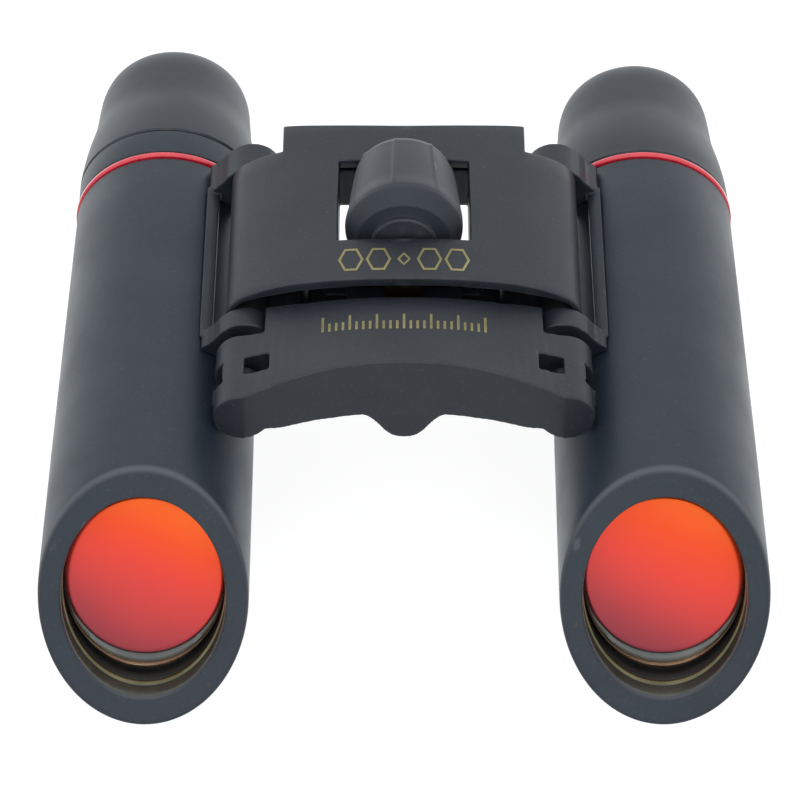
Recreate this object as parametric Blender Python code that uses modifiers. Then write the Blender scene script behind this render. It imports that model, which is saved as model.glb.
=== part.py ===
"""Compact folding binoculars: two roof-prism barrels that hinge on a central bridge with a focus wheel.

Units: every dimension below is in millimetres and is turned into metres where an object is made.
Frame: +Z up, +Y towards the eyepieces, +X to the user's left. The origin is under the middle of the
object's box, on the surface that both barrels rest on.
Stations: a station is a distance along Y, measured from the centre of the raked objective rims.
"""
import math

import bmesh
import bpy
from mathutils import Matrix, Vector

MM = 0.001
GAP = 0.3                    # air left between two pieces that touch

# Driving dimensions
BARREL_SPACING = 69.6        # between the barrel axes, opened to the stop
BARREL_R = 14.1              # outer radius at the front
BARREL_REAR_R = 13.4         # outer radius at the red ring
BORE_R = 11.1
RAKE = math.radians(36.4)    # the rims' lean, lower lip forward
HINGE_X = 21.8
HINGE_Z = 27.2
FOCUS_TRAVEL = 1.5           # each way, for the slider and the objective cells
KNOB_Z = 34.6

# Stations along the barrels
TUBE_REAR = 73.2
RED_RING = (73.5, 74.4)
WINDOW_STATION = 4.6         # centre of the front window, on the barrel axis
DIOPTRE_RING = (74.7, 79.3)
RIGHT_LIP = 101.9
LEFT_LIP = 98.6
SPIGOT_R = 12.2
SPIGOT_REAR = 81.0

# Stations along the bridge
SLIDER_FRONT = 21.0
ARM = (25.5, 28.3)
LUG_REAR = 33.0
FRONT_KNUCKLE = (34.9, 38.3)
REAR_KNUCKLE = (66.8, 72.3)
COVER = (38.6, 71.8)
COVER_REAR_MIDDLE = 70.2     # the rear edge is hollow in plan
FRAME_TUBE = (39.3, 66.3)
WINDOW = (46.65, 62.95)
WINDOW_HALF = 9.19
SLIDER_REAR = 43.0
KNOB = (47.4, 62.6)
SCREW = (39.6, 63.6)
PLATE_REAR = 37.9            # of the slider's plate; its tongue goes further

# Bridge heights and widths
WEB_Z = (25.0, 27.4)
LUG_R = 4.0
KNUCKLE_R = 4.0
FRAME_TUBE_R = 2.9
PIN_R = 1.2
PIN_BORE_R = PIN_R + GAP
SCREW_R = 0.9                # focus screw
BUMP_Z = 20.4

# Rounds
FINE = 48
MEDIUM = 24
SMALL = 16
BORE = 15                    # odd, so that a bore's corners never meet those of the piece it cuts

# Eyecup outline: (distance ahead of the rear lip, radius)
CUP_OUTLINE = ((0.4, 9.5), (1.3, 10.3), (2.6, 10.9), (4.6, 11.3), (11.4, 11.9), (16.0, 12.75), (20.0, 13.25))

BARREL_Z = BARREL_R
FRONT_LIP = -BARREL_R * math.tan(RAKE)
MID_STATION = (FRONT_LIP + RIGHT_LIP) / 2
RIM_NORMAL = Vector((0, -math.cos(RAKE), math.sin(RAKE)))

SIDES = {"right": -1, "left": 1}


# ---------------------------------------------------------------- scene and helpers

def clear_scene():
    for obj in list(bpy.data.objects):
        bpy.data.objects.remove(obj, do_unlink=True)


def new_collection(name):
    collection = bpy.data.collections.new(name)
    bpy.context.scene.collection.children.link(collection)
    return collection


def world(x, station, z):
    """World position, in metres, of a point given in millimetres."""
    return Vector((x * MM, (station - MID_STATION) * MM, z * MM))


def finish(name, colour, roughness, metallic=0.0, transmission=0.0):
    material = bpy.data.materials.new(name)
    material.use_nodes = True
    shader = material.node_tree.nodes["Principled BSDF"]
    shader.inputs["Base Color"].default_value = (*colour, 1.0)
    shader.inputs["Roughness"].default_value = roughness
    shader.inputs["Metallic"].default_value = metallic
    shader.inputs["Transmission Weight"].default_value = transmission
    material.diffuse_color = (*colour, 1.0)
    return material


def place(name, mesh, material=None, location=(0, 0, 0)):
    """An object in the parts collection, or among the cutters when it has no material."""
    obj = bpy.data.objects.new(name, mesh)
    obj.location = location
    if material is None:
        cutters.objects.link(obj)
        obj.hide_render = True
        obj.display_type = "WIRE"
    else:
        parts.objects.link(obj)
        mesh.materials.append(material)
    return obj


def turned(name, profile, centre, material=None, steps=MEDIUM, solid=False):
    """A piece turned about an axis along Y through centre (x, z).

    profile lists (radius, station) points that run forward down the outer side and, on a ring,
    back along the inner side. A solid piece starts and ends on the axis instead.
    """
    mesh = bpy.data.meshes.new(name)
    points = [(radius * MM, 0, station * MM) for radius, station in profile]
    edges = [(i, i + 1) for i in range(len(points) - 1)]
    if not solid:
        edges.append((len(points) - 1, 0))
    mesh.from_pydata(points, edges, [])
    obj = place(name, mesh, material, world(centre[0], 0, centre[1]))
    obj.rotation_euler = (-math.pi / 2, 0, 0)
    screw = obj.modifiers.new("turn", "SCREW")
    screw.axis = "Z"
    screw.steps = steps
    screw.render_steps = steps
    screw.use_merge_vertices = True
    screw.merge_threshold = 0.00001
    screw.use_smooth_shade = False
    return obj


def rod(name, radius, start, end, centre, material=None, steps=SMALL):
    profile = [(0, end), (radius, end), (radius, start), (0, start)]
    return turned(name, profile, centre, material, steps, solid=True)


def bore(name, radius, start, end, centre):
    """A cutter for a round hole along Y."""
    return rod(name, radius, start, end, centre, None, BORE)


def ring(name, outer, inner, start, end, centre, material=None, steps=MEDIUM):
    profile = [(outer, end), (outer, start), (inner, start), (inner, end)]
    return turned(name, profile, centre, material, steps)


def block(name, low, high, material=None):
    """A box between two corners (x, station, z)."""
    low, high = world(*low), world(*high)
    bm = bmesh.new()
    bmesh.ops.create_cube(bm, size=1.0)
    bmesh.ops.scale(bm, vec=high - low, verts=bm.verts)
    mesh = bpy.data.meshes.new(name)
    bm.to_mesh(mesh)
    bm.free()
    return place(name, mesh, material, (low + high) / 2)


def post(name, radius, centre, low, high, material=None):
    """A cylinder along Z at centre (x, station)."""
    bm = bmesh.new()
    bmesh.ops.create_cone(bm, cap_ends=True, segments=SMALL, radius1=radius * MM,
                          radius2=radius * MM, depth=(high - low) * MM)
    mesh = bpy.data.meshes.new(name)
    bm.to_mesh(mesh)
    bm.free()
    return place(name, mesh, material, world(centre[0], centre[1], (low + high) / 2))


def extruded(name, outline, start, end, material=None):
    """A flat outline of (x, z) points, extruded along Y from one station to another."""
    curve = bpy.data.curves.new(name, "CURVE")
    curve.dimensions = "2D"
    curve.fill_mode = "BOTH"
    curve.extrude = (end - start) / 2 * MM
    spline = curve.splines.new("POLY")
    spline.points.add(len(outline) - 1)
    for point, (x, z) in zip(spline.points, outline):
        point.co = (x * MM, z * MM, 0, 1)
    spline.use_cyclic_u = True
    guide = bpy.data.objects.new(name, curve)
    cutters.objects.link(guide)
    guide.rotation_euler = (math.pi / 2, 0, 0)
    guide.location = world(0, (start + end) / 2, 0)
    bpy.context.view_layer.update()
    evaluated = guide.evaluated_get(bpy.context.evaluated_depsgraph_get())
    mesh = bpy.data.meshes.new_from_object(evaluated)
    matrix = guide.matrix_world.copy()
    bpy.data.objects.remove(guide, do_unlink=True)
    bpy.data.curves.remove(curve)
    bm = bmesh.new()
    bm.from_mesh(mesh)
    bmesh.ops.remove_doubles(bm, verts=bm.verts, dist=0.000001)
    bmesh.ops.recalc_face_normals(bm, faces=bm.faces)
    bm.to_mesh(mesh)
    bm.free()
    mesh.name = name
    obj = place(name, mesh, material)
    obj.matrix_world = matrix
    return obj


def plan_extruded(name, outline, low, high):
    """A cutter from an outline of (x, station) points, extruded upwards."""
    bm = bmesh.new()
    face = bm.faces.new([bm.verts.new(world(x, station, low)) for x, station in outline])
    grown = bmesh.ops.extrude_face_region(bm, geom=[face])
    moved = [item for item in grown["geom"] if isinstance(item, bmesh.types.BMVert)]
    bmesh.ops.translate(bm, vec=(0, 0, (high - low) * MM), verts=moved)
    bmesh.ops.recalc_face_normals(bm, faces=bm.faces)
    mesh = bpy.data.meshes.new(name)
    bm.to_mesh(mesh)
    bm.free()
    return place(name, mesh)


def arc(centre, radius, first, last, count):
    """Points on an arc about centre (x, z), between two angles in degrees."""
    points = []
    for i in range(count + 1):
        angle = math.radians(first + (last - first) * i / count)
        points.append((centre[0] + radius * math.cos(angle), centre[1] + radius * math.sin(angle)))
    return points


def mirrored(outline, side):
    """The outline on the given side, with its direction kept."""
    if side > 0:
        return outline
    return [(-x, z) for x, z in reversed(outline)]


def combine(target, tool, operation):
    modifier = target.modifiers.new(operation.lower(), "BOOLEAN")
    modifier.operation = operation
    modifier.solver = "EXACT"
    modifier.object = tool


def cut(target, *tools):
    for tool in tools:
        combine(target, tool, "DIFFERENCE")


def join(target, *tools):
    for tool in tools:
        combine(target, tool, "UNION")


def axis_empty(name, x, station, z):
    """An empty on a joint's axis, which the moving pieces are parented to."""
    empty = bpy.data.objects.new(name, None)
    empty.location = world(x, station, z)
    empty.empty_display_size = 0.01
    parts.objects.link(empty)
    return empty


def carry(empty, *children):
    for child in children:
        child.parent = empty
        child.matrix_parent_inverse = Matrix.Translation(empty.location).inverted()


def slab(name, near, far, centre_x):
    """A wide block between two depths behind the raked rim plane."""
    size = 60 * MM
    bm = bmesh.new()
    bmesh.ops.create_cube(bm, size=1.0)
    bmesh.ops.scale(bm, vec=(size, (far - near) * MM, size), verts=bm.verts)
    mesh = bpy.data.meshes.new(name)
    bm.to_mesh(mesh)
    bm.free()
    centre = world(centre_x, 0, BARREL_Z) - RIM_NORMAL * ((near + far) / 2 * MM)
    obj = place(name, mesh, None, centre)
    obj.rotation_euler = (-RAKE, 0, 0)
    return obj


# ---------------------------------------------------------------- barrel pieces

def barrel_radius(station):
    """Outer radius of the tapered barrel."""
    share = min(max(station / TUBE_REAR, 0), 1)
    return BARREL_R + (BARREL_REAR_R - BARREL_R) * share


def arm_direction(side):
    """Unit vector (x, z) from the barrel's axis to its hinge."""
    direction = Vector((side * (HINGE_X - BARREL_SPACING / 2), HINGE_Z - BARREL_Z))
    return direction.normalized()


def arm_bar(name, side, start, end, width, inner, outer, material=None):
    """A radial bar on the line from the barrel's axis to its hinge, between two radii."""
    direction = arm_direction(side)
    middle = (inner + outer) / 2
    bm = bmesh.new()
    bmesh.ops.create_cube(bm, size=1.0)
    bmesh.ops.scale(bm, vec=(width * MM, (end - start) * MM, (outer - inner) * MM), verts=bm.verts)
    mesh = bpy.data.meshes.new(name)
    bm.to_mesh(mesh)
    bm.free()
    x = side * BARREL_SPACING / 2 + direction.x * middle
    z = BARREL_Z + direction.y * middle
    obj = place(name, mesh, material, world(x, (start + end) / 2, z))
    obj.rotation_euler = (0, math.atan2(direction.x, direction.y), 0)
    return obj


def barrel_tube(tag, side, centre):
    front = FRONT_LIP - 1.5
    profile = [
        (SPIGOT_R, SPIGOT_REAR), (SPIGOT_R, TUBE_REAR), (BARREL_REAR_R, TUBE_REAR),
        (BARREL_R, 0), (BARREL_R, front), (BORE_R, front), (BORE_R, SPIGOT_REAR),
    ]
    tube = turned(tag + "_barrel_tube", profile, centre, soft_black, FINE)
    cut(tube, slab(tag + "_rake_cut", -25, 0, centre[0]))
    slot = (ARM[0] - FOCUS_TRAVEL - GAP, ARM[1] + FOCUS_TRAVEL + GAP)
    cut(tube, arm_bar(tag + "_arm_slot", side, slot[0], slot[1], 3.8, 9.0, 16.0))
    return tube


def hinge_bracket(tag, side, centre):
    """Two knuckles on the hinge line, whose feet sweep out on to the barrel, and the rail between."""
    hinge = (HINGE_X, HINGE_Z)
    knuckle = arc(hinge, KNUCKLE_R, 290, 56, 16)
    sweep = [(25.2, 29.5), (26.1, 28.3), (27.0, 27.4), (27.9, 26.8), (28.4, 24.0), (25.6, 21.0)]
    rail = [(26.5, 26.2), (27.3, 26.5), (28.3, 26.75), (28.3, 24.0), (26.5, 24.0)]
    outline = mirrored(knuckle + sweep, side)
    bracket = extruded(tag + "_hinge_bracket", outline, *FRONT_KNUCKLE, moulded_black)
    join(bracket, extruded(tag + "_rear_knuckle", outline, *REAR_KNUCKLE))
    join(bracket, extruded(tag + "_rail", mirrored(rail, side), FRONT_KNUCKLE[1] - 1, REAR_KNUCKLE[0] + 1))
    margin = 0.25
    seat = [(0, 80), (BARREL_REAR_R + margin, 80), (BARREL_REAR_R + margin, TUBE_REAR),
            (BARREL_R + margin, 0), (0, 0)]
    cut(bracket, turned(tag + "_barrel_seat", seat, centre, None, FINE, solid=True))
    cut(bracket, bore(tag + "_knuckle_bore", PIN_BORE_R, FRONT_KNUCKLE[0] - 1, REAR_KNUCKLE[1] - 0.8,
                     (side * HINGE_X, HINGE_Z)))
    return bracket


def eyecup_profile(start, lip, base_r):
    """The bullet-shaped cup, from its rear lip forward along the outside and back inside."""
    lip_r = 8.6
    outside = [(radius, lip - ahead) for ahead, radius in CUP_OUTLINE]
    inside = [
        (SPIGOT_R + GAP, start), (SPIGOT_R + GAP, SPIGOT_REAR + GAP), (9.0, SPIGOT_REAR + GAP),
        (9.0, lip - 7.6), (6.9, lip - 5.0), (6.7, lip - 2.6), (7.0, lip),
    ]
    return [(lip_r, lip)] + outside + [(base_r, start)] + inside


def glass_profile(radius, start, end, front_bulge, rear_bulge):
    """A lens: a spherical zone at each end, with an edge between."""
    points = []
    for i in range(4):
        share = i / 3
        points.append((radius * share, end + rear_bulge * (1 - share ** 2)))
    for i in range(3, -1, -1):
        share = i / 3
        points.append((radius * share, start - front_bulge * (1 - share ** 2)))
    return points


def front_window(tag, centre):
    """A slightly domed ruby glass, square to the raked rim."""
    radius = 10.7
    thick = 1.2
    dome = 0.5
    mesh = bpy.data.meshes.new(tag)
    points = [(0, 0, 0), (radius * MM, 0, 0), (radius * MM, 0, -thick * MM)]
    for i in range(4, -1, -1):
        share = i / 5
        points.append((radius * share * MM, 0, (-thick - dome * (1 - share ** 2)) * MM))
    mesh.from_pydata(points, [(i, i + 1) for i in range(len(points) - 1)], [])
    middle = world(centre[0], WINDOW_STATION, BARREL_Z)
    window = place(tag + "_front_window", mesh, ruby_glass, middle - RIM_NORMAL * (thick / 2 * MM))
    window.rotation_euler = (-math.pi / 2 - RAKE, 0, 0)
    screw = window.modifiers.new("turn", "SCREW")
    screw.steps = MEDIUM
    screw.render_steps = MEDIUM
    screw.use_merge_vertices = True
    screw.merge_threshold = 0.00001
    return window


def window_bezel(tag, centre):
    """The ledge behind the front window: a raked slice of the bore with a round hole square to it."""
    bezel = rod(tag + "_window_bezel", BORE_R - 0.25, -8, 20, centre, inner_black, MEDIUM)
    depth = WINDOW_STATION * math.cos(RAKE)
    combine(bezel, slab(tag + "_bezel_slab", depth + 0.9, depth + 3.0, centre[0]), "INTERSECT")
    bm = bmesh.new()
    bmesh.ops.create_cone(bm, cap_ends=True, segments=MEDIUM, radius1=9.4 * MM,
                          radius2=9.4 * MM, depth=30 * MM)
    mesh = bpy.data.meshes.new(tag + "_bezel_hole")
    bm.to_mesh(mesh)
    bm.free()
    hole = place(tag + "_bezel_hole", mesh, None, world(centre[0], WINDOW_STATION, BARREL_Z))
    hole.rotation_euler = (math.pi / 2 - RAKE, 0, 0)
    cut(bezel, hole)
    return bezel


def objective_group(tag, side, centre):
    """The sliding front lens: cell, lens, retaining ring and the arm that the focus slider pushes."""
    cell = turned(tag + "_objective_cell", [
        (10.7, 33.0), (10.7, 19.6), (9.3, 19.6), (9.3, 27.0), (7.8, 27.4), (7.8, 33.0),
    ], centre, inner_black)
    lens = turned(tag + "_objective_lens", glass_profile(9.0, 22.6, 25.6, 0.9, 0.6), centre,
                  clear_glass, solid=True)
    retainer = ring(tag + "_objective_retaining_ring", 9.0, 8.0, 20.0, 21.2, centre, inner_black)
    reach = math.hypot(BARREL_SPACING / 2 - HINGE_X, HINGE_Z - BARREL_Z)
    arm = rod(tag + "_focus_arm", 2.4, ARM[0], ARM[1], (side * HINGE_X, HINGE_Z), moulded_black)
    join(arm, arm_bar(tag + "_arm_bar", side, ARM[0], ARM[1], 3.0, 10.95, reach))
    cut(arm, bore(tag + "_arm_bore", PIN_BORE_R, ARM[0] - 1, ARM[1] + 1, (side * HINGE_X, HINGE_Z)))
    return [cell, lens, retainer, arm]


def prism_group(tag, centre):
    """A cage with the half-penta prism and the Schmidt roof prism, and the field stop behind it."""
    x, z = centre
    holder = rod(tag + "_prism_holder", BORE_R - GAP, 40, 64, centre, inner_black, MEDIUM)
    half = 7.0
    cut(holder, block(tag + "_prism_well", (x - half, 39, z - 7.5), (x + half, 65, z + 7.5)))
    front_outline = [(0, 0), (0, 14), (4, 14), (14, 4), (14, 0)]
    rear_outline = [(4.8, 14), (20, 14), (20, 0), (14.8, 0), (14.8, 4.0)]
    glass = []
    for name, outline in (("half_penta_prism", front_outline), ("schmidt_prism", rear_outline)):
        prism = side_extruded(f"{tag}_{name}", outline, 42.0, z - 7.0, x, 13.0, clear_glass)
        glass.append(prism)
    stop = ring(tag + "_field_stop", BORE_R - GAP, 6.0, 65.4, 66.6, centre, inner_black)
    return [holder, *glass, stop]


def side_extruded(name, outline, station, z, x, width, material):
    """A flat outline of (distance along Y, height) points, extruded along X about its middle."""
    bm = bmesh.new()
    verts = []
    for along, up in outline:
        verts.append(bm.verts.new(world(x - width / 2, station + along, z + up)))
    face = bm.faces.new(verts)
    grown = bmesh.ops.extrude_face_region(bm, geom=[face])
    moved = [item for item in grown["geom"] if isinstance(item, bmesh.types.BMVert)]
    bmesh.ops.translate(bm, vec=(width * MM, 0, 0), verts=moved)
    bmesh.ops.recalc_face_normals(bm, faces=bm.faces)
    mesh = bpy.data.meshes.new(name)
    bm.to_mesh(mesh)
    bm.free()
    return place(name, mesh, material)


def ocular_group(tag, centre, lip):
    """The eyepiece: a stepped cell with the field lens, the eye lens and its retaining ring."""
    rear = lip - 8.4
    cell = turned(tag + "_ocular_cell", [
        (8.6, rear), (8.6, 80.4), (10.7, 80.0), (10.7, 70.0),
        (9.3, 70.0), (9.3, 77.6), (6.4, 78.0), (6.4, rear - 5.6), (7.3, rear - 5.4), (7.3, rear),
    ], centre, inner_black)
    field = turned(tag + "_field_lens", glass_profile(9.0, 73.6, 75.8, 0.8, 0.8), centre,
                   clear_glass, solid=True)
    eye = turned(tag + "_eye_lens", glass_profile(7.0, rear - 4.6, rear - 2.6, 0.3, 0.7), centre,
                 coated_glass, solid=True)
    retainer = ring(tag + "_eye_lens_retaining_ring", 7.0, 5.9, rear - 1.6, rear - 0.2, centre, inner_black)
    return [cell, field, eye, retainer]


def barrel(tag, side):
    centre = (side * BARREL_SPACING / 2, BARREL_Z)
    lip = RIGHT_LIP if tag == "right" else LEFT_LIP
    fold_axis = axis_empty(tag + "_fold_axis", side * HINGE_X, 53, HINGE_Z)
    cup_start = DIOPTRE_RING[1] + GAP if tag == "right" else DIOPTRE_RING[0]
    carry(
        fold_axis,
        barrel_tube(tag, side, centre),
        hinge_bracket(tag, side, centre),
        ring(tag + "_trim_ring", BARREL_REAR_R + 0.2, SPIGOT_R + 0.2, *RED_RING, centre, red_gloss, FINE),
        turned(tag + "_eyecup", eyecup_profile(cup_start, lip, BARREL_REAR_R), centre, eyecup_rubber, FINE),
        front_window(tag, centre),
        window_bezel(tag, centre),
        *prism_group(tag, centre),
    )
    objective_slide = axis_empty(tag + "_objective_slide", centre[0], 26, centre[1])
    carry(objective_slide, *objective_group(tag, side, centre))
    ocular_slide = axis_empty(tag + "_ocular_axis", centre[0], 77, centre[1])
    carry(ocular_slide, *ocular_group(tag, centre, lip))
    if tag == "right":
        carry(ocular_slide, ring("dioptre_ring", BARREL_REAR_R, SPIGOT_R + 0.2, *DIOPTRE_RING, centre,
                                 soft_black, FINE))
    rod(tag + "_hinge_pin", PIN_R, 24.4, REAR_KNUCKLE[1] - 1.2, (side * HINGE_X, HINGE_Z), steel)


# ---------------------------------------------------------------- bridge pieces

def bridge_cover():
    """The top plate: an arched skin with rolled sides, a window for the wheel and screw bosses."""
    outer = [(0, 36.5), (7.5, 36.3), (14.6, 35.5), (18.5, 34.5), (21.3, 33.3), (23.0, 32.2),
             (24.0, 31.0), (24.6, 29.5)]
    inner = [(23.9, 29.6), (23.3, 30.3), (22.4, 30.95), (21.0, 31.8), (18.0, 32.9), (14.4, 33.9),
             (7.5, 34.7), (0, 34.9)]
    half = outer + inner
    mirror = [(-x, z) for x, z in reversed(half) if x > 0]
    cover = extruded("bridge_cover", half + mirror, *COVER, moulded_black)
    cut(cover, block("window_cut", (-WINDOW_HALF, WINDOW[0], 20), (WINDOW_HALF, WINDOW[1], 40)))
    for side in SIDES.values():
        inner_x, outer_x = sorted((side * 17.3, side * 30))
        cut(cover, block("rear_notch", (inner_x, FRAME_TUBE[1] + 0.1, 20), (outer_x, 75, 40)))
    foot = WEB_Z[0] + 0.2
    sides = 16.9
    skirt = [(-sides, foot), (-sides, 34.2), (-10, 35.4), (-3, 36.0), (4, 36.0), (10.5, 35.3),
             (sides, 34.2), (sides, foot)]
    join(cover, extruded("rear_skirt", skirt, 68.1, COVER[1] - 0.1))
    cut(cover, plan_extruded("rear_hollow", rear_hollow(), 20, 40))
    cut(cover, bore("shaft_relief", SCREW_R + GAP, COVER[0] - 1, WINDOW[0] + 1, (0, KNOB_Z)))
    cut(cover, bore("stub_relief", SCREW_R + GAP, WINDOW[1] - 1, 65.6, (0, KNOB_Z)))
    for x, station in screw_places():
        join(cover, post("cover_boss", 2.0, (x, station), WEB_Z[1] + GAP, 35.0))
    for x, station in screw_places():
        cut(cover, post("boss_hole", 1.0, (x, station), WEB_Z[1] - 1, 32.6))
    return cover


def rear_hollow():
    """Plan outline (x, station) of what is taken off the cover's rear edge: a shallow arc."""
    half = 17.6
    steps = 12
    outline = []
    for i in range(-steps, steps + 1):
        x = half * i / steps
        depth = (COVER[1] - COVER_REAR_MIDDLE) * (1 - (x / half) ** 2)
        outline.append((x, COVER[1] + 0.05 - depth))
    return outline + [(half, COVER[1] + 3), (-half, COVER[1] + 3)]


def screw_places():
    return [(x, station) for station in (43.4, 64.6) for x in (-13.6, 13.6)]


def bridge_frame():
    """The chassis: two hinge bearing tubes, the web between them and the walls that carry the wheel."""
    frame = block("bridge_frame", (-19.7, FRAME_TUBE[0] + 0.2, WEB_Z[0]), (19.7, 67.8, WEB_Z[1]),
                  chassis_black)
    for side in SIDES.values():
        inner_x, outer_x = sorted((side * 16.9, side * 30))
        cut(frame, block("frame_notch", (inner_x, FRAME_TUBE[1] - 0.2, 20), (outer_x, 75, 40)))
        join(frame, rod("bearing", FRAME_TUBE_R, *FRAME_TUBE, (side * HINGE_X, HINGE_Z)))
    wall = WINDOW_HALF + 1.5
    join(frame, block("wheel_walls", (-wall, 44.8, 26), (wall, 64.2, 33.9)))
    # The opening round the wheel reaches further back through the web than between the walls.
    front, rear, web_rear = WINDOW[0] - 0.1, WINDOW[1] + 0.2, 65.7
    step = WEB_Z[1] + 0.1
    opening = [(front, 20), (web_rear, 20), (web_rear, step), (rear, step), (rear, 40), (front, 40)]
    cut(frame, side_extruded("frame_window", opening, 0, 0, 0, 2 * WINDOW_HALF, None))
    cut(frame, bore("saddle", SCREW_R + GAP, 40, 63.9, (0, KNOB_Z)))
    for side in SIDES.values():
        cut(frame, bore("pin_bore", PIN_BORE_R, 38, 68, (side * HINGE_X, HINGE_Z)))
    for x, station in screw_places():
        cut(frame, post("head_sink", 1.9, (x, station), WEB_Z[0] - 1, WEB_Z[0] + 1.3))
        cut(frame, post("shank_hole", 1.0, (x, station), WEB_Z[0], WEB_Z[1] + 1))
    return frame


def cover_screw(index, x, station):
    name = f"cover_screw_{index}"
    screw = post(name, 1.6, (x, station), WEB_Z[0] + 0.1, WEB_Z[0] + 1.0, steel)
    join(screw, post(name + "_shank", 0.7, (x, station), WEB_Z[0] + 0.6, 31.6))
    for turn in (0, math.pi / 2):
        slot = block(name + "_slot", (x - 1.0, station - 0.2, WEB_Z[0] - 1),
                     (x + 1.0, station + 0.2, WEB_Z[0] + 0.5))
        slot.rotation_euler = (0, 0, turn)
        cut(screw, slot)
    return screw


def front_hollow():
    """Plan outline (x, station) of the hollow in the slider's front, deepest in the middle."""
    depth = 3.0
    steps = 20
    outline = []
    for i in range(-steps, steps + 1):
        share = i / steps
        station = SLIDER_FRONT - 0.02 + depth * (1 - share ** 2) ** 1.35
        outline.append((HINGE_X * share, station))
    return outline + [(HINGE_X, SLIDER_FRONT - 3), (-HINGE_X, SLIDER_FRONT - 3)]


def lower_rear_top(slider):
    """Let the plate's top fall towards the rear, the crown most, so that it passes under the cover."""
    fall = 1.5
    bm = bmesh.new()
    bm.from_mesh(slider.data)
    for vert in bm.verts:
        if vert.co.z < 0:
            share = (vert.co.y / MM - 31.2) / 2.8
            vert.co.y -= fall * MM * min(max(share, 0), 1)
    bmesh.ops.triangulate(bm, faces=bm.faces)
    bm.to_mesh(slider.data)
    bm.free()


def focus_slider():
    """The front plate: an arched casting with a lug on each hinge pin and a tongue under the cover."""
    top = [(0, 35.2), (7.0, 35.0), (13.0, 34.3), (17.5, 33.1), (20.0, 31.9)]
    lug = arc((HINGE_X, HINGE_Z), LUG_R, 90, -140, 14)
    bump = [(5.8, 4.6), (5.0, 4.3), (4.2, 3.55), (3.4, 2.4), (2.6, 1.25), (1.8, 0.5), (0.9, 0.1), (0, 0)]
    bottom = [(16.6, 24.3), (12.0, 24.8)] + [(x, BUMP_Z + height) for x, height in bump]
    half = top + lug + bottom
    mirror = [(-x, z) for x, z in reversed(half) if x > 0]
    slider = extruded("focus_slider", half + mirror, SLIDER_FRONT, PLATE_REAR, moulded_black)
    lower_rear_top(slider)
    cut(slider, plan_extruded("front_hollow", front_hollow(), 0, 60))
    # Behind the lugs the plate is narrower, round the barrels' front knuckles.
    rear = LUG_REAR
    for side in SIDES.values():
        inner_x, outer_x = sorted((side * 19.0, side * 30))
        cut(slider, block("side_notch", (inner_x, rear, 20), (outer_x, 50, 40)))
        cut(slider, rod("knuckle_clearance", KNUCKLE_R + 0.4, rear, 50, (side * HINGE_X, HINGE_Z)))
        inner_x, outer_x = sorted((side * 17.9, side * 30))
        cut(slider, block("arm_slot", (inner_x, ARM[0] - GAP, 18), (outer_x, ARM[1] + GAP, 30.0)))
        inner_x, outer_x = sorted((side * 18.2, side * 21.6))
        cut(slider, block("arm_window", (inner_x, ARM[0] - GAP + 0.2, 29), (outer_x, ARM[1] + GAP, 36)))
        cut(slider, bore("lug_bore", PIN_BORE_R, 22.6, 40, (side * HINGE_X, HINGE_Z)))
    # Under the cover only a flat tongue is left, which carries the half nut.
    cut(slider, block("under_step", (-30, 30.5, 10), (30, 50, 28.0)))
    join(slider, block("tongue", (-8, 36, 28.4), (8, SLIDER_REAR, 30.6)))
    return slider


def focus_nut():
    """The half nut under the focus screw."""
    nut = block("focus_nut", (-2.6, 39.9, 30.9), (2.6, SLIDER_REAR, KNOB_Z - 0.1), brass)
    cut(nut, bore("nut_groove", SCREW_R + 0.25, 38, 46, (0, KNOB_Z)))
    return nut


def focus_wheel():
    """The wheel: widest behind its rounded front, tapering to the rear, with eight very shallow flutes."""
    start, end = KNOB
    collar_r = 4.5
    face = start + 0.8
    profile = [
        (SCREW_R + GAP, end), (6.0, end), (6.9, end - 0.6), (7.1, end - 1.8), (7.5, end - 4.6),
        (7.95, start + 6.6), (8.3, start + 3.6), (8.1, start + 2.7), (6.5, start + 0.95), (6.35, face),
        (collar_r, face), (collar_r, start), (SCREW_R + GAP, start),
    ]
    wheel = turned("focus_wheel", profile, (0, KNOB_Z), eyecup_rubber, 40)
    groove_r = 10.1
    for i in range(8):
        angle = math.radians(12.5 + 45 * i)
        x = groove_r * math.sin(angle)
        z = KNOB_Z + groove_r * math.cos(angle)
        cut(wheel, rod(f"flute_{i}", 2.6, start + 3.2, end - 2.8, (x, z), None, 12))
    return wheel


def bridge():
    bridge_cover()
    bridge_frame()
    for index, (x, station) in enumerate(screw_places(), 1):
        cover_screw(index, x, station)
    focus_slider()
    focus_nut()
    wheel_axis = axis_empty("focus_wheel_axis", 0, 54, KNOB_Z)
    carry(
        wheel_axis,
        focus_wheel(),
        rod("focus_screw", SCREW_R, *SCREW, (0, KNOB_Z), steel),
        ring("thrust_washer", 1.7, SCREW_R + 0.25, 46.65, 46.95, (0, KNOB_Z), brass, SMALL),
    )


clear_scene()
parts = new_collection("binoculars")
cutters = new_collection("cutters")

soft_black = finish("soft_black", (0.030, 0.034, 0.042), 0.48)
eyecup_rubber = finish("eyecup_rubber", (0.028, 0.030, 0.038), 0.55)
moulded_black = finish("moulded_black", (0.032, 0.036, 0.044), 0.42)
chassis_black = finish("chassis_black", (0.028, 0.030, 0.036), 0.5)
inner_black = finish("inner_black", (0.02, 0.02, 0.022), 0.35, 0.6)
steel = finish("steel", (0.55, 0.56, 0.58), 0.3, 1.0)
brass = finish("brass", (0.72, 0.55, 0.25), 0.32, 1.0)
red_gloss = finish("red_gloss", (0.78, 0.03, 0.06), 0.2)
ruby_glass = finish("ruby_glass", (0.85, 0.12, 0.04), 0.05)
clear_glass = finish("clear_glass", (0.85, 0.92, 0.90), 0.02, 0.0, 1.0)
coated_glass = finish("coated_glass", (0.55, 0.40, 0.75), 0.02, 0.0, 1.0)

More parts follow.
